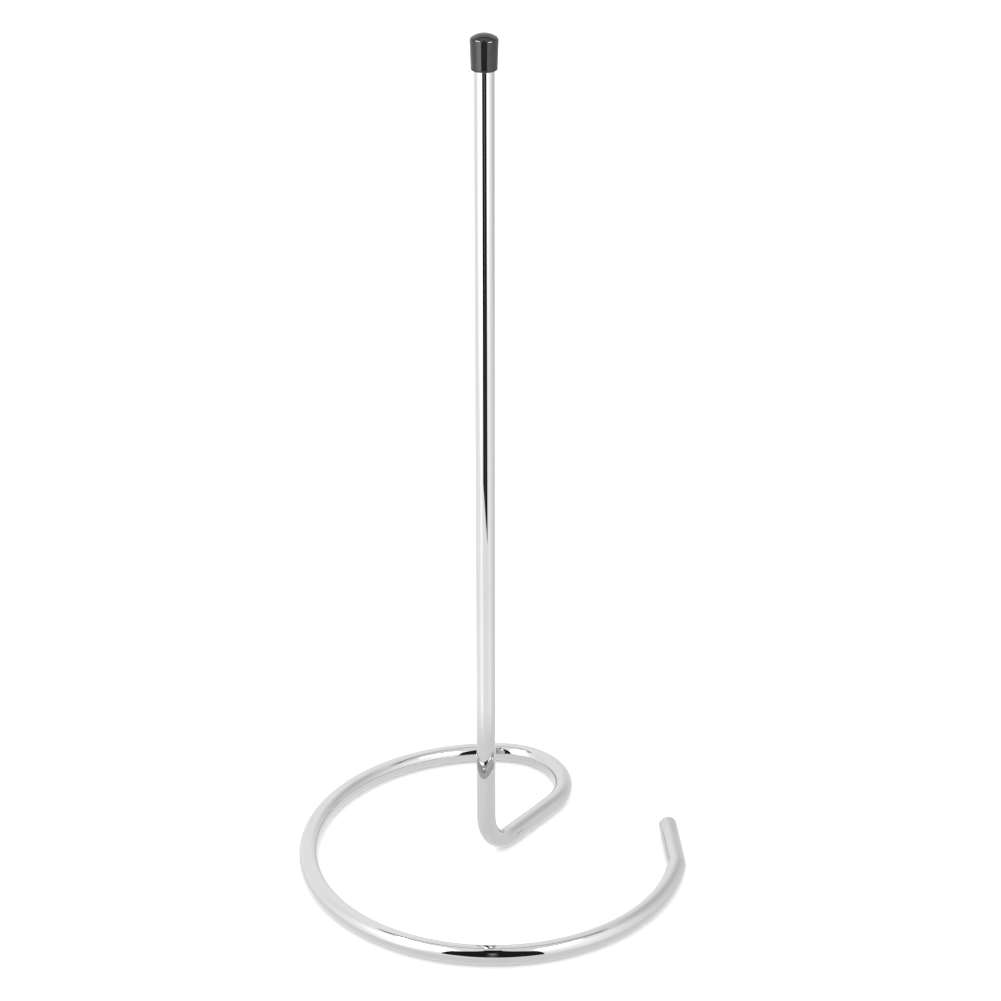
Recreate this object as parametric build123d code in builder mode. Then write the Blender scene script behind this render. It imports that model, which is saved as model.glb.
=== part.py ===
"""Paper towel holder: one bent steel rod and the cap pushed on its top.

The rod is bent in one piece. It comes down as the post, turns through the elbow into an arm that runs out
along the worktop, turns back through the corner and goes round the post as an open base ring. The ring ends
in a short straight tail. The base lies flat, so the ring, the arm and the tail are all one rod radius above
the worktop. The origin is where the post's axis meets the worktop.
"""

from build123d import *

import math
import os

# ---- driving dimensions, millimetres and degrees ----

rod_diameter = 8.0
overall_height = 360.0

# Base, measured on the rod's centre line.
ring_radius = 79.0
ring_offset = 5.0  # from the post's axis out to the ring's centre, along the arm
ring_sweep = 261.4
arm_azimuth = 53.0  # from +X towards +Y
elbow_radius = 18.0
corner_radius = 28.0

# Free end of the ring.
tail_bend_radius = 16.0
tail_turn = 15.6
tail_length = 30.2
end_round = 0.8

# Cap, pushed on the post's top end.
cap_height = 13.9
cap_roof = 2.2
cap_rim_wall = 1.0
cap_shoulder_wall = 1.42
cap_dome_rise = 2.0
cap_shoulder_round = 1.6
cap_rim_round = 0.5
cap_clearance = 0.05  # radial, between the bore and the rod

# ---- sizes that follow ----

right_angle = 90.0
rod_radius = rod_diameter / 2
base_level = rod_radius
cap_base = overall_height - cap_height
post_top = overall_height - cap_roof

# The corner is tangent to the arm and, from the inside, to the ring. Its centre is corner_radius from the
# arm's line, which passes through the ring's centre, and ring_radius - corner_radius from that centre.
corner_centre_distance = ring_radius - corner_radius
arm_end = ring_offset + math.sqrt(corner_centre_distance**2 - corner_radius**2)
corner_turn = right_angle + math.degrees(math.asin(corner_radius / corner_centre_distance))

up = Vector(0, 0, 1)
arm_direction = Vector(1, 0, 0).rotate(Axis.Z, arm_azimuth)

# Upright plane through the post and the arm: X runs out along the arm and Y runs up the post.
post_plane = Plane(origin=(0, 0, 0), x_dir=arm_direction, z_dir=arm_direction.cross(up))
base_plane = Plane.XY.offset(base_level)

os.makedirs("parts", exist_ok=True)

# ---- bent rod: post, elbow, arm, corner, ring and tail ----

with BuildPart() as bent_rod:
    with BuildLine(post_plane):
        post = Line((0, post_top), (0, base_level + elbow_radius))
        elbow = JernArc(start=post @ 1, tangent=post % 1, radius=elbow_radius, arc_size=right_angle)
        arm = Line(elbow @ 1, (arm_end, base_level))
    with BuildLine(base_plane):
        corner = JernArc(start=arm @ 1, tangent=arm % 1, radius=corner_radius, arc_size=corner_turn)
        ring = JernArc(start=corner @ 1, tangent=corner % 1, radius=ring_radius, arc_size=ring_sweep)
        tail_bend = JernArc(start=ring @ 1, tangent=ring % 1, radius=tail_bend_radius, arc_size=tail_turn)
        tail = Line(tail_bend @ 1, tail_bend @ 1 + (tail_bend % 1) * tail_length)
    with BuildSketch(Plane(origin=post @ 0, z_dir=post % 0)):
        Circle(rod_radius)
    sweep()
    post_end = bent_rod.faces().sort_by_distance(post @ 0)[0]
    tail_end = bent_rod.faces().sort_by_distance(tail @ 1)[0]
    fillet(post_end.edges() + tail_end.edges(), radius=end_round)

bent_rod.part.label = "bent_rod"
export_step(bent_rod.part, "parts/bent_rod.step")

# ---- end cap: tapers towards its rim, with a shallow dome and a blind bore for the rod ----

shoulder_level = overall_height - cap_dome_rise
bore_radius = rod_radius + cap_clearance
rim_radius = bore_radius + cap_rim_wall
shoulder_radius = bore_radius + cap_shoulder_wall
dome_radius = (shoulder_radius**2 + cap_dome_rise**2) / (2 * cap_dome_rise)

with BuildPart() as end_cap:
    with BuildSketch(Plane.XZ):
        with BuildLine():
            Polyline(
                (0, overall_height),
                (0, cap_base),
                (rim_radius, cap_base),
                (shoulder_radius, shoulder_level),
            )
            RadiusArc((0, overall_height), (shoulder_radius, shoulder_level), dome_radius)
        make_face()
    revolve(axis=Axis.Z)
    rim_edge = end_cap.edges().filter_by_position(Axis.Z, cap_base, cap_base)
    fillet(rim_edge, radius=cap_rim_round)
    shoulder_edge = end_cap.edges().filter_by_position(Axis.Z, shoulder_level, shoulder_level)
    fillet(shoulder_edge, radius=cap_shoulder_round)
    with BuildSketch(Plane.XY.offset(cap_base)):
        Circle(bore_radius)
    extrude(amount=post_top - cap_base, mode=Mode.SUBTRACT)

end_cap.part.label = "end_cap"
export_step(end_cap.part, "parts/end_cap.step")
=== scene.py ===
"""Looks of the paper towel holder: a chrome-plated bent rod and a black vinyl cap, in a small light tent.

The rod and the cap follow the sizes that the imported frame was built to. Their size fields, and every
name that ends in _mm, are in millimetres. Meshes, the tent and the camera are in metres, and the angles
in the fields are in degrees.
"""

import logging
import math
from dataclasses import dataclass, field
from enum import Enum
from typing import Iterable, Sequence

import bpy
from mathutils import Matrix, Vector


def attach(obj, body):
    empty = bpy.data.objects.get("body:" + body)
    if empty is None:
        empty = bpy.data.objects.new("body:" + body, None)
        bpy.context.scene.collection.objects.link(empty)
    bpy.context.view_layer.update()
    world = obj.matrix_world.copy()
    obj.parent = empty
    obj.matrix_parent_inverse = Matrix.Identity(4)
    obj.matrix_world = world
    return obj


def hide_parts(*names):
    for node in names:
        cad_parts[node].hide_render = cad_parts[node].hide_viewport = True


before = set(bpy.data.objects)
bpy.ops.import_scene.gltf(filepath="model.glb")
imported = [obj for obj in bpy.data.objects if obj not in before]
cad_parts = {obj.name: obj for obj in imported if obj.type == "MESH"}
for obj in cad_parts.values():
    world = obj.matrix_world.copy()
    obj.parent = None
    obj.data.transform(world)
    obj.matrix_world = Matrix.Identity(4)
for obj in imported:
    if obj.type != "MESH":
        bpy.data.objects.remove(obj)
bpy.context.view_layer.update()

log = logging.getLogger("paper_towel_holder")

MM = 0.001
BAKE_MAP = "OFBake"
BAR_POINT = "bar_point"
UP = Vector((0.0, 0.0, 1.0))

# The bake map's margin before a strip, its run along a strip, the gap beside it, the reach of a pole as a
# share of the skin's length, and the slack that keeps a ring on a strip's edge in the later strip.
MAP_MARGIN = 0.02
MAP_RUN = 0.94
MAP_GAP = 0.06
MAP_POLE = 1e-3
SAME_LENGTH = 1e-9


def linear(colour: str) -> tuple[float, float, float, float]:
    """Turn an sRGB hex colour into the linear values that a shader takes.

    Args:
        colour: Six hex digits after a hash, such as "#c5c7c9".

    Returns:
        Linear red, green and blue, and an alpha of 1.
    """
    parts = [int(colour[i : i + 2], 16) / 255 for i in (1, 3, 5)]
    low, high = [v / 12.92 for v in parts], [((v + 0.055) / 1.055) ** 2.4 for v in parts]
    red, green, blue = [a if v <= 0.04045 else b for v, a, b in zip(parts, low, high)]
    return red, green, blue, 1.0


def add_node(
    tree: bpy.types.NodeTree,
    kind: str,
    links: dict[str | int, object] | None = None,
    values: dict[str | int, object] | None = None,
    **settings: object,
) -> bpy.types.Node:
    """Add one node with its settings, its input values and the links into it.

    Args:
        tree: The node tree that gets the node.
        kind: The node's type, such as "ShaderNodeTexNoise".
        links: Output sockets to link, by the name or number of the input that each goes to.
        values: Constant input values, by input name or number.
        settings: Attributes of the node itself, such as operation="MULTIPLY".

    Returns:
        The new node.
    """
    node = tree.nodes.new(kind)
    for name, value in settings.items():
        setattr(node, name, value)
    for socket, value in (values or {}).items():
        node.inputs[socket].default_value = value
    for socket, source in (links or {}).items():
        tree.links.new(source, node.inputs[socket])
    return node


def new_material(name: str) -> tuple[bpy.types.Material, bpy.types.Node]:
    """Make an empty node material.

    Args:
        name: The material's name.

    Returns:
        The material and its output node.
    """
    material = bpy.data.materials.new(name)
    material.use_nodes = True
    material.node_tree.nodes.clear()
    return material, material.node_tree.nodes.new("ShaderNodeOutputMaterial")


def new_object(name: str, mesh: bpy.types.Mesh) -> bpy.types.Object:
    """Put a mesh in the scene as an object at the origin.

    Args:
        name: The object's name.
        mesh: Its mesh.

    Returns:
        The new object.
    """
    made = bpy.data.objects.new(name, mesh)
    bpy.context.scene.collection.objects.link(made)
    return made


class Part(Enum):
    """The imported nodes, each with the body that carries it and the material slot that it takes."""

    ROD = ("bent_rod", "rod", "chrome_rod")
    CAP = ("end_cap", "cap", "black_cap")

    def __init__(self, node: str, body: str, slot: str) -> None:
        """Name the three fields of each member.

        Args:
            node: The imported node's name.
            body: The body that carries it.
            slot: The material slot that it takes.
        """
        self.node = node
        self.body = body
        self.slot = slot

    def stand_in(self, piece: bpy.types.Object) -> None:
        """Let a piece ride on this part's body and stand for its node.

        Args:
            piece: The visible object.
        """
        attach(piece, self.body)
        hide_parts(self.node)


# ---- finishes ----


@dataclass(frozen=True)
class BrightChromePlate:
    """Nickel-chrome plate on drawn and buffed steel rod: a mirror with faint draw lines and a soft swell."""

    colour: str = "#c6c6c6"
    haze_colour: str = "#bebebd"
    rub_colour: str = "#a8a59d"
    roughness: float = 0.02
    haze_roughness: float = 0.045
    rub_roughness: float = 0.32
    swell_length_mm: float = 14.0
    swell_height_mm: float = 0.005
    draw_line_spacing_mm: float = 0.55
    draw_line_height_mm: float = 0.00035
    pit_spacing_mm: float = 9.0
    pit_width_mm: float = 0.35
    pit_depth_mm: float = 0.02
    pit_strength: float = 0.6
    wipe_length_mm: float = 22.0
    wipe_stretch: float = 0.22
    wipe_span: tuple[float, float] = (0.46, 0.74)
    draw_stretch: float = 0.012
    rub_level_mm: float = 0.35
    rub_dash_mm: float = 2.4
    rub_span: tuple[float, float] = (0.42, 0.62)

    def make(self) -> bpy.types.Material:
        """Build the plate's material.

        Returns:
            A material that reads the unbent rod's own coordinates, so that its lines run along the rod.
        """
        material, output = new_material("bright_nickel_chrome_plate_on_drawn_steel")
        tree = material.node_tree
        bar = add_node(tree, "ShaderNodeAttribute", attribute_name=BAR_POINT).outputs["Vector"]
        place = add_node(tree, "ShaderNodeTexCoord").outputs["Object"]

        # Handling leaves a broken film of wipe marks: long soft patches that take the edge off a reflection.
        stretched = add_node(
            tree, "ShaderNodeVectorMath", {0: bar}, {1: (1.0, 1.0, self.wipe_stretch)}, operation="MULTIPLY"
        ).outputs[0]
        wipes = add_node(
            tree,
            "ShaderNodeTexNoise",
            {"Vector": stretched},
            {"Scale": 1000 / self.wipe_length_mm, "Detail": 5.0, "Roughness": 0.62, "Distortion": 0.4},
        ).outputs["Fac"]
        film = add_node(
            tree,
            "ShaderNodeMapRange",
            {"Value": wipes},
            {1: self.wipe_span[0], 2: self.wipe_span[1]},
            interpolation_type="SMOOTHSTEP",
        ).outputs[0]

        # The lowest line of the base rubs on the worktop and dulls in short broken dashes.
        level = add_node(tree, "ShaderNodeSeparateXYZ", {0: place}).outputs["Z"]
        touching = add_node(
            tree,
            "ShaderNodeMapRange",
            {"Value": level},
            {1: 0.0, 2: self.rub_level_mm * MM, 3: 1.0, 4: 0.0},
            interpolation_type="SMOOTHSTEP",
        ).outputs[0]
        dashes = add_node(
            tree,
            "ShaderNodeTexNoise",
            {"Vector": stretched},
            {"Scale": 1000 / self.rub_dash_mm, "Detail": 4.0, "Roughness": 0.7},
        ).outputs["Fac"]
        worn = add_node(
            tree,
            "ShaderNodeMapRange",
            {"Value": dashes},
            {1: self.rub_span[0], 2: self.rub_span[1]},
            interpolation_type="SMOOTHSTEP",
        ).outputs[0]
        rub = add_node(tree, "ShaderNodeMath", {0: touching, 1: worn}, operation="MULTIPLY").outputs[0]

        colour = add_node(
            tree,
            "ShaderNodeMix",
            {"Factor": film},
            {"A": linear(self.colour), "B": linear(self.haze_colour)},
            data_type="RGBA",
        ).outputs["Result"]
        colour = add_node(
            tree,
            "ShaderNodeMix",
            {"Factor": rub, "A": colour},
            {"B": linear(self.rub_colour)},
            data_type="RGBA",
        ).outputs["Result"]
        hazed = add_node(
            tree, "ShaderNodeMapRange", {"Value": film}, {3: self.roughness, 4: self.haze_roughness}
        ).outputs[0]
        roughness = add_node(
            tree, "ShaderNodeMix", {"Factor": rub, "A": hazed}, {"B": self.rub_roughness}, data_type="FLOAT"
        ).outputs["Result"]

        # Buffing leaves a low swell that makes straight reflections waver.
        swell = add_node(
            tree,
            "ShaderNodeTexNoise",
            {"Vector": bar},
            {"Scale": 1000 / self.swell_length_mm, "Detail": 1.0, "Roughness": 0.4},
        ).outputs["Fac"]
        bump = add_node(
            tree,
            "ShaderNodeBump",
            {"Height": swell},
            {"Strength": 1.0, "Distance": self.swell_height_mm * MM},
        ).outputs[0]
        # The die leaves lines along the rod, drawn coarser here than their real 0.1 mm so that they show.
        drawn = add_node(
            tree, "ShaderNodeVectorMath", {0: bar}, {1: (1.0, 1.0, self.draw_stretch)}, operation="MULTIPLY"
        ).outputs[0]
        lines = add_node(
            tree,
            "ShaderNodeTexNoise",
            {"Vector": drawn},
            {"Scale": 1000 / self.draw_line_spacing_mm, "Detail": 3.0, "Roughness": 0.6},
        ).outputs["Fac"]
        bump = add_node(
            tree,
            "ShaderNodeBump",
            {"Height": lines, "Normal": bump},
            {"Strength": 1.0, "Distance": self.draw_line_height_mm * MM},
        ).outputs[0]
        # A few pinholes in the plate: sparse cells whose centres hold a small round dip.
        cells = add_node(
            tree,
            "ShaderNodeTexVoronoi",
            {"Vector": bar},
            {"Scale": 1000 / self.pit_spacing_mm},
            feature="F1",
        ).outputs["Distance"]
        dip = add_node(
            tree,
            "ShaderNodeMapRange",
            {"Value": cells},
            {1: 0.0, 2: self.pit_width_mm / 2 / self.pit_spacing_mm, 3: 0.0, 4: 1.0},
            interpolation_type="SMOOTHSTEP",
        ).outputs[0]
        bump = add_node(
            tree,
            "ShaderNodeBump",
            {"Height": dip, "Normal": bump},
            {"Strength": self.pit_strength, "Distance": self.pit_depth_mm * MM},
        ).outputs[0]

        shader = add_node(
            tree,
            "ShaderNodeBsdfPrincipled",
            {"Base Color": colour, "Roughness": roughness, "Normal": bump},
            {"Metallic": 1.0},
        )
        tree.links.new(shader.outputs["BSDF"], output.inputs["Surface"])
        return material


@dataclass(frozen=True)
class DipMouldedVinyl:
    """Black PVC plastisol, dip moulded and pulled off a mandrel: wet-looking, with a fine orange peel."""

    colour: str = "#171718"
    bloom_colour: str = "#1f1f20"
    roughness: float = 0.045
    bloom_roughness: float = 0.13
    # The rim band is matt, and its darker colour is painted shade along the rim.
    rim_shade_colour: str = "#0c0c0c"
    rim_band_roughness: float = 0.55
    rim_band_level_mm: float = 346.1
    rim_band_height_mm: float = 1.1
    peel_size_mm: float = 0.9
    peel_height_mm: float = 0.004
    cloud_size_mm: float = 3.8
    cloud_span: tuple[float, float] = (0.42, 0.72)
    sag_size_mm: float = 4.5
    sag_height_mm: float = 0.03
    ior: float = 1.53

    def make(self) -> bpy.types.Material:
        """Build the vinyl's material.

        Returns:
            A glossy black material with an uneven skin.
        """
        material, output = new_material("black_dip_moulded_vinyl")
        tree = material.node_tree
        place = add_node(tree, "ShaderNodeTexCoord").outputs["Object"]

        # Finger grease and plasticiser bloom dull the gloss in small clouds.
        clouds = add_node(
            tree,
            "ShaderNodeTexNoise",
            {"Vector": place},
            {"Scale": 1000 / self.cloud_size_mm, "Detail": 5.0, "Roughness": 0.6},
        ).outputs["Fac"]
        bloom = add_node(
            tree,
            "ShaderNodeMapRange",
            {"Value": clouds},
            {1: self.cloud_span[0], 2: self.cloud_span[1]},
            interpolation_type="SMOOTHSTEP",
        ).outputs[0]
        colour = add_node(
            tree,
            "ShaderNodeMix",
            {"Factor": bloom},
            {"A": linear(self.colour), "B": linear(self.bloom_colour)},
            data_type="RGBA",
        ).outputs["Result"]
        skin = add_node(
            tree, "ShaderNodeMapRange", {"Value": bloom}, {3: self.roughness, 4: self.bloom_roughness}
        ).outputs[0]
        # A thin band at the rim is matt, as a blade-trimmed edge is, and darker: its dark colour is painted
        # shade along the rim where the rod goes in.
        level = add_node(tree, "ShaderNodeSeparateXYZ", {0: place}).outputs["Z"]
        low, high = self.rim_band_level_mm * MM, (self.rim_band_level_mm + self.rim_band_height_mm) * MM
        rim_shade_band = add_node(
            tree,
            "ShaderNodeMapRange",
            {"Value": level},
            {1: (low + high) / 2, 2: high, 3: 1.0, 4: 0.0},
            interpolation_type="SMOOTHSTEP",
        ).outputs[0]
        # Painted shade: the rim band takes a darker colour.
        colour = add_node(
            tree,
            "ShaderNodeMix",
            {"Factor": rim_shade_band, "A": colour},
            {"B": linear(self.rim_shade_colour)},
            data_type="RGBA",
        ).outputs["Result"]
        roughness = add_node(
            tree,
            "ShaderNodeMix",
            {"Factor": rim_shade_band, "A": skin},
            {"B": self.rim_band_roughness},
            data_type="FLOAT",
        ).outputs["Result"]

        # The dip sags before it cures, and its skin dries with a fine peel.
        sag = add_node(
            tree, "ShaderNodeTexNoise", {"Vector": place}, {"Scale": 1000 / self.sag_size_mm, "Detail": 1.0}
        ).outputs["Fac"]
        bump = add_node(
            tree, "ShaderNodeBump", {"Height": sag}, {"Strength": 1.0, "Distance": self.sag_height_mm * MM}
        ).outputs[0]
        peel = add_node(
            tree,
            "ShaderNodeTexNoise",
            {"Vector": place},
            {"Scale": 1000 / self.peel_size_mm, "Detail": 2.0},
        ).outputs["Fac"]
        bump = add_node(
            tree,
            "ShaderNodeBump",
            {"Height": peel, "Normal": bump},
            {"Strength": 1.0, "Distance": self.peel_height_mm * MM},
        ).outputs[0]

        shader = add_node(
            tree,
            "ShaderNodeBsdfPrincipled",
            {"Base Color": colour, "Roughness": roughness, "Normal": bump},
            {"Metallic": 0.0, "IOR": self.ior},
        )
        tree.links.new(shader.outputs["BSDF"], output.inputs["Surface"])
        return material


# ---- mesh helpers ----


@dataclass
class Station:
    """One place along a rod: where its centre is, which way it runs, and one direction across it."""

    centre: Vector
    along: Vector
    across: Vector
    travelled: float


@dataclass
class RodWalk:
    """Walks a rod's centre line as a bending machine does, one straight or one bend at a time."""

    centre: Vector
    along: Vector
    across: Vector
    travelled: float = 0.0
    stations: list[Station] = field(default_factory=list)

    def mark(self) -> None:
        """Keep the present place as a station."""
        here = (self.centre.copy(), self.along.copy(), self.across.copy())
        self.stations.append(Station(*here, self.travelled))

    def straight(self, length: float, step: float) -> None:
        """Go straight on.

        Args:
            length: How far to go, in metres.
            step: The longest distance between two stations, in metres.
        """
        count = max(1, math.ceil(length / step))
        for _ in range(count):
            self.centre = self.centre + self.along * (length / count)
            self.travelled += length / count
            self.mark()

    def bend(self, radius: float, turn: float, axis: Vector, step: float) -> None:
        """Go round a bend.

        Args:
            radius: The centre line's radius, in metres.
            turn: The angle of the bend, in radians.
            axis: The unit direction that the rod turns about.
            step: The largest angle between two stations, in radians.
        """
        count = max(1, math.ceil(turn / step))
        pivot = self.centre + axis.cross(self.along) * radius
        part = Matrix.Rotation(turn / count, 3, axis)
        for _ in range(count):
            self.centre = pivot + part @ (self.centre - pivot)
            self.along = (part @ self.along).normalized()
            self.across = (part @ self.across).normalized()
            self.travelled += radius * turn / count
            self.mark()


def skin_of_rings(
    name: str,
    rings: Sequence[Sequence[Vector]],
    bar_points: Sequence[Sequence[Vector]],
    lengths: Sequence[float],
    strips: int,
) -> bpy.types.Mesh:
    """Join rings of points into one closed skin, with a point at each end.

    Args:
        name: The mesh's name.
        rings: Rings of equally many points, in order from one end of the piece to the other.
        bar_points: For each point, where it would lie if the piece were straight.
        lengths: Each ring's distance along the skin, which only ever grows.
        strips: How many strips the bake map lays side by side.

    Returns:
        A smooth-shaded mesh with the bake map and the straight coordinates on it.
    """
    count = len(rings[0])
    first_pole = sum(rings[0], Vector()) / count
    last_pole = sum(rings[-1], Vector()) / count
    points = [first_pole, *(p for ring in rings for p in ring), last_pole]
    straight = [
        sum(bar_points[0], Vector()) / count,
        *(p for ring in bar_points for p in ring),
        sum(bar_points[-1], Vector()) / count,
    ]
    last = len(points) - 1
    faces: list[tuple[int, ...]] = []
    places: list[tuple[tuple[float, float], ...]] = []
    start, whole = lengths[0], lengths[-1] - lengths[0]
    strip_length = whole / strips
    final_strip = strips - 1
    tip = whole * MAP_POLE

    def on_map(strip: int, length: float, turn: float) -> tuple[float, float]:
        """Place a point on the bake map, in its strip.

        Args:
            strip: The strip's number.
            length: The point's distance along the skin, in metres.
            turn: Its share of the way round the skin.

        Returns:
            The point's two map coordinates.
        """
        across = (strip + MAP_GAP + (1 - 2 * MAP_GAP) * turn) / strips
        run = (length - start - strip * strip_length) / strip_length
        return MAP_MARGIN + MAP_RUN * run, across

    for i in range(len(rings) - 1):
        strip = min(final_strip, int((lengths[i] - start) / strip_length + SAME_LENGTH))
        for j in range(count):
            k = (j + 1) % count
            base = 1 + i * count
            faces.append((base + j, base + k, base + count + k, base + count + j))
            a, b = j / count, (j + 1) / count
            near, far = lengths[i], lengths[i + 1]
            places.append(tuple(on_map(strip, s, t) for s, t in ((near, a), (near, b), (far, b), (far, a))))
    final, end = 1 + (len(rings) - 1) * count, lengths[-1]
    for j in range(count):
        k = (j + 1) % count
        a, b = j / count, (j + 1) / count
        middle = (a + b) / 2
        faces.append((0, 1 + k, 1 + j))
        places.append(tuple(on_map(0, s, t) for s, t in ((start - tip, middle), (start, b), (start, a))))
        faces.append((last, final + j, final + k))
        places.append(
            tuple(on_map(final_strip, s, t) for s, t in ((end + tip, middle), (end, a), (end, b)))
        )

    mesh = bpy.data.meshes.new(name)
    mesh.from_pydata([tuple(p) for p in points], [], faces)
    mesh.polygons.foreach_set("use_smooth", [True] * len(faces))
    bake_map = mesh.uv_layers.new(name=BAKE_MAP)
    bake_map.uv.foreach_set("vector", [v for place in places for pair in place for v in pair])
    straight_points = mesh.attributes.new(BAR_POINT, "FLOAT_VECTOR", "POINT")
    straight_points.data.foreach_set("vector", [v for p in straight for v in p])
    mesh.update()
    return mesh


# ---- the two pieces ----


@dataclass
class BentRod:
    """The one rod: post, elbow, arm, corner, base ring and tail, with its ends slightly rounded."""

    diameter: float = 8.0
    overall_height: float = 360.0
    cap_roof: float = 2.2
    ring_radius: float = 79.0
    ring_offset: float = 5.0
    ring_sweep: float = 261.4
    arm_azimuth: float = 53.0
    elbow_radius: float = 18.0
    corner_radius: float = 28.0
    tail_bend_radius: float = 16.0
    tail_turn: float = 15.6
    tail_length: float = 30.2
    end_round: float = 0.8
    points_round: int = 72
    straight_step: float = 1.5
    edge_step: float = 0.1
    bend_step: float = 1.0
    elbow_steps: int = 3
    corner_steps: int = 2
    end_ring_shares: tuple[float, ...] = (0.25, 0.6, 0.95)
    finish: BrightChromePlate = field(default_factory=BrightChromePlate)

    def walk(self) -> list[Station]:
        """Follow the rod from the post's top to the tail's end.

        Returns:
            Every station, in order, in metres.
        """
        half = self.diameter / 2 * MM
        arm = Matrix.Rotation(math.radians(self.arm_azimuth), 3, "Z") @ Vector((1, 0, 0))
        side = UP.cross(arm)
        inner = self.ring_radius - self.corner_radius
        arm_end = self.ring_offset + math.sqrt(inner**2 - self.corner_radius**2)
        corner_turn = math.radians(90) + math.asin(self.corner_radius / inner)
        foot = half + self.elbow_radius * MM
        top = (self.overall_height - self.cap_roof) * MM
        step = math.radians(self.bend_step)
        walk = RodWalk(Vector((0, 0, top)), -UP, side)
        walk.mark()
        walk.straight(self.end_round * MM, self.edge_step * MM)
        walk.straight(top - foot - self.end_round * MM, self.straight_step * MM)
        # Turning about the side direction, the rod swings from straight down to straight out along the arm.
        walk.bend(self.elbow_radius * MM, math.radians(90), -side, self.elbow_steps * step)
        walk.straight((arm_end - self.elbow_radius) * MM, self.straight_step * MM)
        walk.bend(self.corner_radius * MM, corner_turn, UP, self.corner_steps * step)
        walk.bend(self.ring_radius * MM, math.radians(self.ring_sweep), UP, step)
        walk.bend(self.tail_bend_radius * MM, math.radians(self.tail_turn), UP, step)
        walk.straight((self.tail_length - self.end_round) * MM, self.straight_step * MM)
        walk.straight(self.end_round * MM, self.edge_step * MM)
        return walk.stations

    def width_at(self, station: Station, whole: float) -> float:
        """Give the rod's radius at a station, drawn in where an end is rounded.

        Args:
            station: The place along the rod.
            whole: The rod's length, in metres.

        Returns:
            The radius there, in metres.
        """
        half, edge = self.diameter / 2 * MM, self.end_round * MM
        from_end = min(station.travelled, whole - station.travelled)
        if from_end >= edge:
            return half
        return half - edge + math.sqrt(max(0.0, edge**2 - (edge - from_end) ** 2))

    def mesh(self) -> bpy.types.Mesh:
        """Skin the rod.

        Returns:
            The rod's mesh, with flat rings inside each rounded edge.
        """
        stations = self.walk()
        whole = stations[-1].travelled
        flat = self.diameter / 2 * MM - self.end_round * MM
        rings: list[list[Vector]] = []
        straight: list[list[Vector]] = []
        lengths: list[float] = []

        def add(station: Station, radius: float, length: float) -> None:
            """Add one ring, and where its points would lie on the unbent bar.

            Args:
                station: The place along the rod.
                radius: The ring's radius, in metres.
                length: How far along the skin the ring lies, in metres.
            """
            other = station.along.cross(station.across)
            turns = [2 * math.pi * j / self.points_round for j in range(self.points_round)]
            outwards = [station.across * math.cos(a) + other * math.sin(a) for a in turns]
            rings.append([station.centre + direction * radius for direction in outwards])
            straight.append([
                Vector((radius * math.cos(a), radius * math.sin(a), station.travelled)) for a in turns
            ])
            lengths.append(length)

        for share in self.end_ring_shares:
            add(stations[0], flat * share, flat * share)
        for station in stations:
            add(station, self.width_at(station, whole), flat + station.travelled)
        for share in reversed(self.end_ring_shares):
            add(stations[-1], flat * share, flat + whole + flat * (1 - share))
        return skin_of_rings("bent_rod_skin", rings, straight, lengths, strips=8)

    def build(self) -> bpy.types.Object:
        """Build the rod, dress it and put it on its body.

        Returns:
            The rod's object.
        """
        piece = new_object("rod_skin", self.mesh())
        piece.data.materials.append(self.finish.make())
        Part.ROD.stand_in(piece)
        return piece


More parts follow.
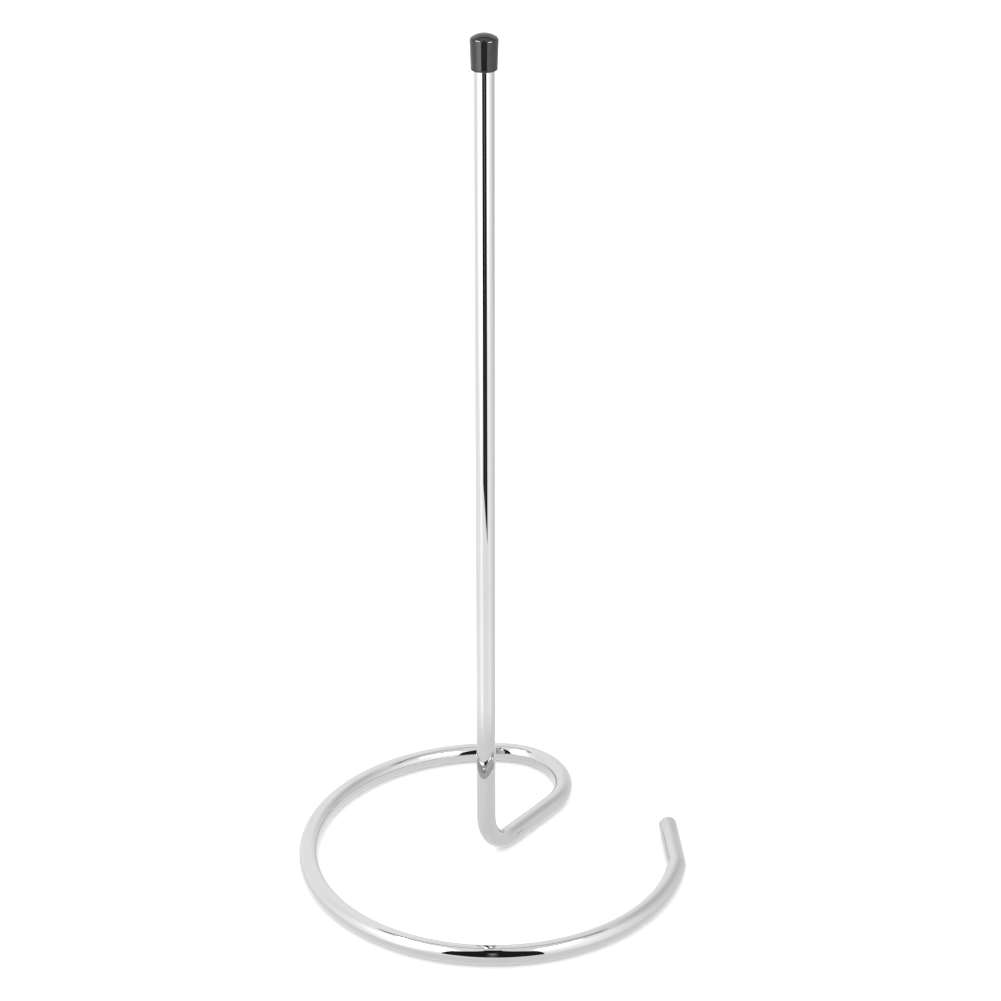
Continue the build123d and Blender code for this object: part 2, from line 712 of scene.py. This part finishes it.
@dataclass
class EndCap:
    """The cap: a tapering sleeve with a shallow dome, a soft shoulder and a blind bore for the rod."""

    overall_height: float = 360.0
    height: float = 13.9
    roof: float = 2.2
    bore_radius: float = 4.05
    rim_radius: float = 5.05
    shoulder_radius: float = 5.47
    dome_rise: float = 2.0
    shoulder_round: float = 1.6
    rim_round: float = 0.5
    bore_edge_round: float = 0.12
    bore_corner: float = 0.1
    roof_shares: tuple[float, ...] = (0.3, 0.7, 0.97)
    bore_shares: tuple[float, ...] = (0.25, 0.5, 0.75)
    wall_shares: tuple[float, ...] = (0.05, 0.2, 0.4, 0.6, 0.8, 0.95)
    bore_edge_steps: int = 4
    rim_steps: int = 8
    shoulder_steps: int = 16
    dome_steps: int = 14
    points_round: int = 96
    finish: DipMouldedVinyl = field(default_factory=DipMouldedVinyl)

    def outline(self) -> list[tuple[float, float]]:
        """Trace the cap's half section, from the bore's roof round the rim to the top of the dome.

        Returns:
            Radius and level of each point, in millimetres.
        """
        base = self.overall_height - self.height
        roof = self.overall_height - self.roof
        shoulder = self.overall_height - self.dome_rise
        dome = (self.shoulder_radius**2 + self.dome_rise**2) / (2 * self.dome_rise)
        dome_centre = Vector((0.0, self.overall_height - dome))
        low, high = Vector((self.rim_radius, base)), Vector((self.shoulder_radius, shoulder))
        up_wall = (high - low).normalized()
        inwards = Vector((-up_wall.y, up_wall.x))

        rim_centre = low + inwards * self.rim_round
        rim_centre += up_wall * ((base + self.rim_round - rim_centre.y) / up_wall.y)
        start = low + inwards * self.shoulder_round - dome_centre
        along = start.dot(up_wall)
        reach = (dome - self.shoulder_round) ** 2 - start.length_squared + along**2
        shoulder_centre = dome_centre + start + up_wall * (math.sqrt(reach) - along)
        towards_dome = (shoulder_centre - dome_centre).normalized()

        def arc(
            centre: Vector, radius: float, first: float, last: float, count: int
        ) -> list[tuple[float, float]]:
            """Sample an arc between two angles from the radial direction.

            Args:
                centre: The arc's centre, as radius and level in millimetres.
                radius: The arc's radius, in millimetres.
                first: Where it starts, in radians.
                last: Where it ends, in radians.
                count: How many steps it takes.

            Returns:
                Radius and level of each point, in millimetres.
            """
            angles = [first + (last - first) * i / count for i in range(count + 1)]
            return [(centre.x + radius * math.cos(a), centre.y + radius * math.sin(a)) for a in angles]

        wall_angle = math.atan2(-inwards.y, -inwards.x)
        dome_angle = math.atan2(towards_dome.y, towards_dome.x)
        bore, soft = self.bore_radius, self.bore_edge_round
        soft_centre = Vector((bore + soft, base + soft))
        points = [(bore * share, roof) for share in self.roof_shares]
        points += [(bore, roof - self.bore_corner)]
        points += [(bore, roof - (roof - base) * share) for share in self.bore_shares]
        points += [(bore, base + 2 * soft), (bore, base + soft)]
        points += arc(soft_centre, soft, math.pi, 1.5 * math.pi, self.bore_edge_steps)
        points += arc(rim_centre, self.rim_round, -math.pi / 2, wall_angle, self.rim_steps)
        first, last = Vector(points[-1]), shoulder_centre - inwards * self.shoulder_round
        points += [tuple(first.lerp(last, share)) for share in self.wall_shares]
        points += arc(shoulder_centre, self.shoulder_round, wall_angle, dome_angle, self.shoulder_steps)
        points += arc(dome_centre, dome, dome_angle, math.pi / 2, self.dome_steps)[1:-1]
        return points

    def mesh(self) -> bpy.types.Mesh:
        """Turn the half section round the post's axis.

        Returns:
            The cap's mesh, open below where the rod goes in.
        """
        outline = self.outline()
        turns = [2 * math.pi * j / self.points_round for j in range(self.points_round)]
        rings = [
            [Vector((radius * math.cos(a), radius * math.sin(a), level)) * MM for a in turns]
            for radius, level in outline
        ]
        lengths = [outline[0][0] * MM]
        for near, far in zip(outline, outline[1:]):
            lengths.append(lengths[-1] + math.dist(near, far) * MM)
        return skin_of_rings("end_cap_skin", rings, rings, lengths, strips=2)

    def build(self) -> bpy.types.Object:
        """Build the cap, dress it and put it on its body.

        Returns:
            The cap's object.
        """
        piece = new_object("cap_skin", self.mesh())
        piece.data.materials.append(self.finish.make())
        Part.CAP.stand_in(piece)
        return piece


# ---- the studio ----


@dataclass(frozen=True)
class Zone:
    """One bearing of the tent and its brightness there; between two of them the brightness blends.

    The azimuth is in degrees round from the camera's side.
    """

    azimuth: float
    radiance: float


@dataclass(frozen=True)
class Lamp:
    """A bare lamp behind the fabric, seen as a soft bright patch.

    The azimuth and the half width are in degrees, and the level and the half height in metres.
    """

    azimuth: float
    level: float
    half_width: float
    half_height: float
    radiance: float


@dataclass(frozen=True)
class TentPlace:
    """Where a point of the tent is, as node sockets."""

    side: bpy.types.NodeSocket
    front: bpy.types.NodeSocket
    level: bpy.types.NodeSocket
    azimuth: bpy.types.NodeSocket
    turn: bpy.types.NodeSocket

    @classmethod
    def on(cls, tree: bpy.types.NodeTree) -> "TentPlace":
        """Read the place in a node tree.

        Args:
            tree: The tent's node tree.

        Returns:
            The sockets. The side, the front (towards the camera's side) and the level are in metres.
        """
        place = add_node(tree, "ShaderNodeTexCoord").outputs["Object"]
        parts = add_node(tree, "ShaderNodeSeparateXYZ", {0: place}).outputs
        front = add_node(
            tree, "ShaderNodeMath", {0: parts["Y"]}, {1: -1.0}, operation="MULTIPLY"
        ).outputs[0]
        azimuth = add_node(
            tree, "ShaderNodeMath", {0: parts["X"], 1: front}, operation="ARCTAN2"
        ).outputs[0]
        turn = add_node(
            tree, "ShaderNodeMapRange", {"Value": azimuth}, {1: -math.pi, 2: math.pi, 3: 0.0, 4: 1.0}
        ).outputs[0]
        return cls(parts["X"], front, parts["Z"], azimuth, turn)


@dataclass
class LightTent:
    """A small round light tent that only reflections see, with a dark slit on the camera's side."""

    radius: float = 0.31
    wall_height: float = 0.5
    height: float = 1.05
    slit_half_width: float = 0.128
    slit_top_half_width: float = 0.045
    slit_taper: tuple[float, float] = (0.3, 0.9)
    slit_reach: float = 84.0
    slit_foot: float = 0.0185
    slit_foot_slant: float = 0.142
    slit_radiance: float = 0.02
    slat_half_width: float = 0.02
    slat_fade: float = 0.06
    slat_span: tuple[float, float] = (0.14, 0.31)
    slat_radiance: tuple[float, float] = (0.14, 0.62)
    panel_span: tuple[float, float] = (0.02, 0.26)
    panel_top: tuple[float, float] = (0.36, 0.52)
    strut_slope: float = 0.45
    strut_level: float = 0.36
    strut_half_width: float = 0.05
    strut_radiance: float = 0.3
    brightest: float = 4.0
    wall: tuple[Zone, ...] = (
        Zone(-180, 1.3),
        Zone(-130, 1.28),
        Zone(-97, 1.22),
        Zone(-77, 1.55),
        Zone(-62, 2.4),
        Zone(-48, 3.4),
        Zone(-1, 3.7),
        Zone(1, 2.1),
        Zone(38, 2.0),
        Zone(50, 1.65),
        Zone(75, 1.3),
        Zone(92, 1.0),
        Zone(110, 0.84),
        Zone(135, 0.78),
        Zone(180, 1.3),
    )
    # On the ground, the brighter bearings near -45 and 45 degrees are painted sheen: the side panels
    # reflected in the floor sheet.
    ground: tuple[Zone, ...] = (
        Zone(-180, 1.2),
        Zone(-110, 1.3),
        Zone(-70, 1.38),
        Zone(-45, 1.75),
        Zone(-25, 1.28),
        Zone(25, 1.26),
        Zone(45, 1.4),
        Zone(64, 1.25),
        Zone(95, 1.06),
        Zone(130, 0.95),
        Zone(180, 1.2),
    )
    # Painted shade close to the holder: the floor sheet's radiance there from left to right, and where it
    # gives way to the ground zones.
    underfoot_shade: tuple[float, float] = (1.14, 0.98)
    underfoot_shade_span: tuple[float, float] = (0.1, 0.14)
    ceiling: tuple[float, float] = (1.36, 1.05)
    lamp_core: float = 0.6
    lamps: tuple[Lamp, ...] = (Lamp(-62, 0.6, 34.0, 0.075, 22.0), Lamp(50, 0.48, 22.0, 0.055, 24.0))
    sheet_level: float = 0.0002
    sheet_shares: tuple[float, ...] = (0.05, 0.25, 0.5, 0.75)
    wall_steps: int = 8
    ceiling_steps: int = 24
    segments: int = 96

    def by_azimuth(
        self, tree: bpy.types.NodeTree, turn: bpy.types.NodeSocket, zones: Sequence[Zone]
    ) -> bpy.types.NodeSocket:
        """Spread some zones round the tent.

        Args:
            tree: The tent's node tree.
            turn: The azimuth as a share of a whole turn.
            zones: The zones, in order of azimuth.

        Returns:
            The radiance at each azimuth.
        """
        ramp = add_node(tree, "ShaderNodeValToRGB", {"Fac": turn})
        while len(ramp.color_ramp.elements) < len(zones):
            ramp.color_ramp.elements.new(0.5)
        for element, zone in zip(ramp.color_ramp.elements, zones):
            element.position = (zone.azimuth + 180) / 360
            share = zone.radiance / self.brightest
            element.color = (share, share, share, 1.0)
        return add_node(
            tree, "ShaderNodeMath", {0: ramp.outputs["Color"]}, {1: self.brightest}, operation="MULTIPLY"
        ).outputs[0]

    def lit_fabric(self, tree: bpy.types.NodeTree, at: TentPlace) -> bpy.types.NodeSocket:
        """Light the floor sheet, the walls and the ceiling.

        Args:
            tree: The tent's node tree.
            at: The place on the tent.

        Returns:
            The fabric's radiance.
        """
        # Close to the holder the floor sheet is a little darker: painted shade in place of the holder's
        # shadow on the sheet.
        flat = add_node(tree, "ShaderNodeCombineXYZ", {0: at.side, 1: at.front}).outputs[0]
        away = add_node(tree, "ShaderNodeVectorMath", {0: flat}, operation="LENGTH").outputs["Value"]
        outer = add_node(
            tree,
            "ShaderNodeMapRange",
            {"Value": away},
            {1: self.underfoot_shade_span[0], 2: self.underfoot_shade_span[1]},
            interpolation_type="SMOOTHSTEP",
        ).outputs[0]
        inner = add_node(
            tree,
            "ShaderNodeMapRange",
            {"Value": at.side},
            {
                1: -self.underfoot_shade_span[1],
                2: self.underfoot_shade_span[1],
                3: self.underfoot_shade[0],
                4: self.underfoot_shade[1],
            },
        ).outputs[0]
        # Further out the floor sheet goes by azimuth, with the side panels' painted sheen near -45 and 45
        # degrees.
        ground = add_node(
            tree,
            "ShaderNodeMix",
            {"Factor": outer, "A": inner, "B": self.by_azimuth(tree, at.turn, self.ground)},
            data_type="FLOAT",
        ).outputs["Result"]

        # The floor sheet runs up into the walls, and the walls into the ceiling.
        climb = add_node(
            tree,
            "ShaderNodeMapRange",
            {"Value": at.level},
            {1: self.panel_span[0], 2: self.panel_span[1]},
            interpolation_type="SMOOTHSTEP",
        ).outputs[0]
        wall = add_node(
            tree,
            "ShaderNodeMix",
            {"Factor": climb, "A": ground, "B": self.by_azimuth(tree, at.turn, self.wall)},
            data_type="FLOAT",
        ).outputs["Result"]
        roof = add_node(
            tree,
            "ShaderNodeMapRange",
            {"Value": at.side},
            {1: -self.radius, 2: self.radius, 3: self.ceiling[0], 4: self.ceiling[1]},
        ).outputs[0]
        over = add_node(
            tree,
            "ShaderNodeMapRange",
            {"Value": at.level},
            {1: self.panel_top[0], 2: self.panel_top[1]},
            interpolation_type="SMOOTHSTEP",
        ).outputs[0]
        return add_node(
            tree, "ShaderNodeMix", {"Factor": over, "A": wall, "B": roof}, data_type="FLOAT"
        ).outputs["Result"]

    def with_strut(
        self, tree: bpy.types.NodeTree, at: TentPlace, glow: bpy.types.NodeSocket
    ) -> bpy.types.NodeSocket:
        """Cross the foot of the ceiling behind the post with a dark strut.

        Args:
            tree: The tent's node tree.
            at: The place on the tent.
            glow: The radiance so far.

        Returns:
            The radiance with the strut in it.
        """
        line = add_node(
            tree, "ShaderNodeMath", {0: at.level}, {1: self.strut_level}, operation="SUBTRACT"
        ).outputs[0]
        line = add_node(
            tree, "ShaderNodeMath", {0: line, 2: at.front}, {1: self.strut_slope}, operation="MULTIPLY_ADD"
        ).outputs[0]
        line = add_node(tree, "ShaderNodeMath", {0: line}, operation="ABSOLUTE").outputs[0]
        high = add_node(
            tree, "ShaderNodeMath", {0: at.level}, {1: self.wall_height}, operation="GREATER_THAN"
        ).outputs[0]
        strut = add_node(
            tree, "ShaderNodeMath", {0: line}, {1: self.strut_half_width}, operation="LESS_THAN"
        ).outputs[0]
        strut = add_node(tree, "ShaderNodeMath", {0: strut, 1: high}, operation="MULTIPLY").outputs[0]
        return add_node(
            tree,
            "ShaderNodeMix",
            {"Factor": strut, "A": glow},
            {"B": self.strut_radiance},
            data_type="FLOAT",
        ).outputs["Result"]

    def with_slit(
        self, tree: bpy.types.NodeTree, at: TentPlace, glow: bpy.types.NodeSocket
    ) -> bpy.types.NodeSocket:
        """Cut the dark slit on the camera's side, with a soft pale slat up the middle of its lower half.

        Args:
            tree: The tent's node tree.
            at: The place on the tent.
            glow: The radiance so far.

        Returns:
            The radiance with the slit in it.
        """
        # The slit stands on the floor sheet's edge, narrows as it climbs and ends short of the zenith.
        across = add_node(tree, "ShaderNodeMath", {0: at.side}, operation="ABSOLUTE").outputs[0]
        rise = add_node(
            tree, "ShaderNodeMath", {0: at.level, 1: at.front}, operation="ARCTAN2"
        ).outputs[0]
        width = add_node(
            tree,
            "ShaderNodeMapRange",
            {"Value": at.level},
            {
                1: self.slit_taper[0],
                2: self.slit_taper[1],
                3: self.slit_half_width,
                4: self.slit_top_half_width,
            },
        ).outputs[0]
        near = add_node(
            tree, "ShaderNodeMath", {0: across, 1: width}, operation="LESS_THAN"
        ).outputs[0]
        reach = math.radians(self.slit_reach)
        below = add_node(tree, "ShaderNodeMath", {0: rise}, {1: reach}, operation="LESS_THAN").outputs[0]
        foot = add_node(
            tree,
            "ShaderNodeMath",
            {0: at.side, 2: at.level},
            {1: self.slit_foot_slant},
            operation="MULTIPLY_ADD",
        ).outputs[0]
        above = add_node(
            tree, "ShaderNodeMath", {0: foot}, {1: self.slit_foot}, operation="GREATER_THAN"
        ).outputs[0]
        slit = add_node(tree, "ShaderNodeMath", {0: near, 1: below}, operation="MULTIPLY").outputs[0]
        slit = add_node(tree, "ShaderNodeMath", {0: slit, 1: above}, operation="MULTIPLY").outputs[0]

        slat = add_node(
            tree,
            "ShaderNodeMapRange",
            {"Value": at.level},
            {
                1: self.slat_span[0],
                2: self.slat_span[1],
                3: self.slat_radiance[0],
                4: self.slat_radiance[1],
            },
        ).outputs[0]
        middle = add_node(
            tree,
            "ShaderNodeMapRange",
            {"Value": across},
            {1: 0.0, 2: self.slat_half_width, 3: 1.0, 4: 0.0},
            interpolation_type="SMOOTHSTEP",
        ).outputs[0]
        low = add_node(
            tree,
            "ShaderNodeMapRange",
            {"Value": at.level},
            {1: self.slat_span[1] - self.slat_fade, 2: self.slat_span[1], 3: 1.0, 4: 0.0},
            interpolation_type="SMOOTHSTEP",
        ).outputs[0]
        middle = add_node(tree, "ShaderNodeMath", {0: middle, 1: low}, operation="MULTIPLY").outputs[0]
        inside = add_node(
            tree,
            "ShaderNodeMix",
            {"Factor": middle, "B": slat},
            {"A": self.slit_radiance},
            data_type="FLOAT",
        ).outputs["Result"]
        return add_node(
            tree, "ShaderNodeMix", {"Factor": slit, "A": glow, "B": inside}, data_type="FLOAT"
        ).outputs["Result"]

    def with_lamp(
        self, tree: bpy.types.NodeTree, at: TentPlace, glow: bpy.types.NodeSocket, lamp: Lamp
    ) -> bpy.types.NodeSocket:
        """Shine one lamp through the fabric.

        Args:
            tree: The tent's node tree.
            at: The place on the tent.
            glow: The radiance so far.
            lamp: The lamp.

        Returns:
            The radiance with the lamp's patch added.
        """
        turned, spread = math.radians(lamp.azimuth), math.radians(lamp.half_width)
        off = add_node(
            tree, "ShaderNodeMath", {0: at.azimuth}, {1: turned}, operation="SUBTRACT"
        ).outputs[0]
        off = add_node(tree, "ShaderNodeMath", {0: off}, {1: spread}, operation="DIVIDE").outputs[0]
        up = add_node(
            tree, "ShaderNodeMath", {0: at.level}, {1: lamp.level}, operation="SUBTRACT"
        ).outputs[0]
        up = add_node(
            tree, "ShaderNodeMath", {0: up}, {1: lamp.half_height}, operation="DIVIDE"
        ).outputs[0]
        spot = add_node(tree, "ShaderNodeCombineXYZ", {0: off, 1: up}).outputs[0]
        spot = add_node(tree, "ShaderNodeVectorMath", {0: spot}, operation="LENGTH").outputs["Value"]
        spot = add_node(
            tree,
            "ShaderNodeMapRange",
            {"Value": spot},
            {1: self.lamp_core, 2: 1.0, 3: lamp.radiance, 4: 0.0},
            interpolation_type="SMOOTHSTEP",
        ).outputs[0]
        return add_node(tree, "ShaderNodeMath", {0: glow, 1: spot}, operation="ADD").outputs[0]

    def shade(self) -> bpy.types.Material:
        """Build the tent's glow.

        Returns:
            A material that glows by azimuth and level, with the strut, the slit and the lamps in it.
        """
        material, output = new_material("white_tent_fabric_lit_from_outside")
        tree = material.node_tree
        at = TentPlace.on(tree)
        glow = self.lit_fabric(tree, at)
        glow = self.with_strut(tree, at, glow)
        glow = self.with_slit(tree, at, glow)
        for lamp in self.lamps:
            glow = self.with_lamp(tree, at, glow, lamp)
        shader = add_node(tree, "ShaderNodeEmission", {"Strength": glow})
        tree.links.new(shader.outputs[0], output.inputs["Surface"])
        return material

    def build(self) -> bpy.types.Object:
        """Build the tent round the post, hidden from everything but reflections.

        Returns:
            The tent's object.
        """
        foot = self.sheet_level
        outline = [(self.radius * share, foot) for share in self.sheet_shares]
        for i in range(self.wall_steps + 1):
            outline.append((self.radius, foot + (self.wall_height - foot) * i / self.wall_steps))
        rise = self.height - self.wall_height
        for i in range(1, self.ceiling_steps):
            angle = math.pi / 2 * i / self.ceiling_steps
            outline.append((self.radius * math.cos(angle), self.wall_height + rise * math.sin(angle)))
        turns = [2 * math.pi * j / self.segments for j in range(self.segments)]
        points = [(r * math.sin(a), -r * math.cos(a), z) for r, z in outline for a in turns]
        points += [(0.0, 0.0, self.height), (0.0, 0.0, foot)]
        faces: list[tuple[int, ...]] = []
        for i in range(len(outline) - 1):
            for j in range(self.segments):
                k = (j + 1) % self.segments
                near, far = i * self.segments, (i + 1) * self.segments
                faces.append((near + j, far + j, far + k, near + k))
        top = (len(outline) - 1) * self.segments
        for j in range(self.segments):
            k = (j + 1) % self.segments
            faces += [(top + j, len(points) - 2, top + k), (j, k, len(points) - 1)]
        mesh = bpy.data.meshes.new("light_tent")
        mesh.from_pydata(points, [], faces)
        mesh.update()
        tent = new_object("light_tent", mesh)
        mesh.materials.append(self.shade())
        tent.visible_camera = False
        tent.visible_diffuse = False
        tent.visible_shadow = False
        tent.visible_transmission = False
        tent.visible_volume_scatter = False
        return tent


@dataclass
class Studio:
    """The pale floor, the even light of the tent's fabric, and the camera."""

    floor_half_size: float = 6.0
    floor_colour: str = "#f6f6f6"
    light_colour: str = "#ffffff"
    light: float = 1.7
    camera_place: tuple[float, float, float] = (0.00104, -0.92452, 0.60648)
    camera_tilt: float = 25.28
    camera_yaw: float = 0.31
    lens: float = 92.08
    tent: LightTent = field(default_factory=LightTent)

    def floor(self) -> bpy.types.Object:
        """Lay the floor.

        Returns:
            A wide plain floor at the worktop's level.
        """
        half = self.floor_half_size
        mesh = bpy.data.meshes.new("floor")
        corners = [(-half, -half, 0), (half, -half, 0), (half, half, 0), (-half, half, 0)]
        mesh.from_pydata(corners, [], [(0, 1, 2, 3)])
        material, output = new_material("matt_white_board")
        shader = add_node(
            material.node_tree,
            "ShaderNodeBsdfPrincipled",
            values={"Base Color": linear(self.floor_colour), "Roughness": 0.95, "Specular IOR Level": 0.0},
        )
        material.node_tree.links.new(shader.outputs["BSDF"], output.inputs["Surface"])
        mesh.materials.append(material)
        floor = new_object("floor", mesh)
        return floor

    def sky(self) -> None:
        """Fill the room with even light."""
        world = bpy.data.worlds.new("tent_light")
        world.use_nodes = True
        background = world.node_tree.nodes["Background"]
        background.inputs["Color"].default_value = linear(self.light_colour)
        background.inputs["Strength"].default_value = self.light
        bpy.context.scene.world = world

    def camera(self) -> bpy.types.Object:
        """Set up the camera.

        Returns:
            The scene's camera.
        """
        data = bpy.data.cameras.new("camera")
        data.sensor_width = 36.0
        data.lens = self.lens
        data.clip_end = 50.0
        camera = bpy.data.objects.new("camera", data)
        bpy.context.scene.collection.objects.link(camera)
        tilt, yaw = math.radians(self.camera_tilt), math.radians(self.camera_yaw)
        towards = Vector((math.sin(yaw) * math.cos(tilt), math.cos(yaw) * math.cos(tilt), -math.sin(tilt)))
        camera.location = self.camera_place
        camera.rotation_mode = "QUATERNION"
        camera.rotation_quaternion = towards.to_track_quat("-Z", "Y")
        bpy.context.scene.camera = camera
        return camera

    def build(self) -> None:
        """Set up the floor, the light, the tent and the camera."""
        self.floor()
        self.sky()
        self.tent.build()
        self.camera()
        bpy.context.scene.view_settings.view_transform = "Standard"
        bpy.context.scene.view_settings.look = "None"


def report(piece: bpy.types.Object) -> None:
    """Log a piece's name and how fine its mesh is.

    Args:
        piece: The visible object.
    """
    log.info("%s: %d points, %d faces", piece.name, len(piece.data.vertices), len(piece.data.polygons))


def main() -> None:
    """Build the pieces in order, then the studio."""
    logging.basicConfig(level=logging.INFO, format="%(name)s: %(message)s")
    for piece in (BentRod().build(), EndCap().build()):
        report(piece)
    Studio().build()


if __name__ == "__main__":
    main()
